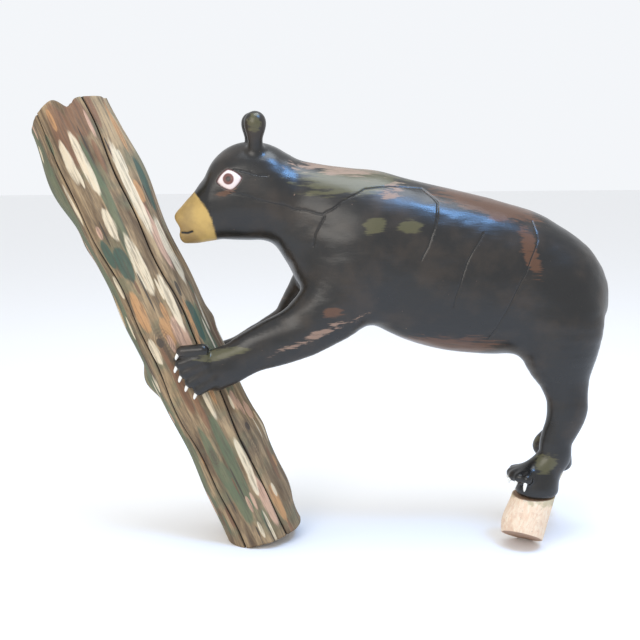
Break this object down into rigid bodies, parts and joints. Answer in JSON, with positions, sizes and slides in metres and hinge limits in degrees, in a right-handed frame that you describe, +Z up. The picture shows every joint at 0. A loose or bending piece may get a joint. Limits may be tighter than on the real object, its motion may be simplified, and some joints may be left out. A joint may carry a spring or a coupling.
{
  "type": "chainsaw carved bear",
  "caption": "Carved and painted black bear that climbs a leaning weathered log, with its hind feet on short bare-wood posts.",
  "frame": {"origin": "on the ground, under the middle of the whole work's box", "axes": "+X from the log's leaning top towards the bear's rump, so the bear faces -X; +Y to the bear's right side, away from the side that the picture shows; +Z up"},
  "size_m": [1.1226, 0.2286, 0.892],
  "materials": {
    "weathered_log": "weathered, cracked, unpainted",
    "black_paint": "worn glossy black-brown paint on carved wood",
    "bare_wood": "bare, sawn"
  },
  "bodies": {
    "root": {"log": "weathered_log", "bear": "black_paint", "hind_post_near": "bare_wood", "hind_post_far": "bare_wood"}
  },
  "joints": []
}
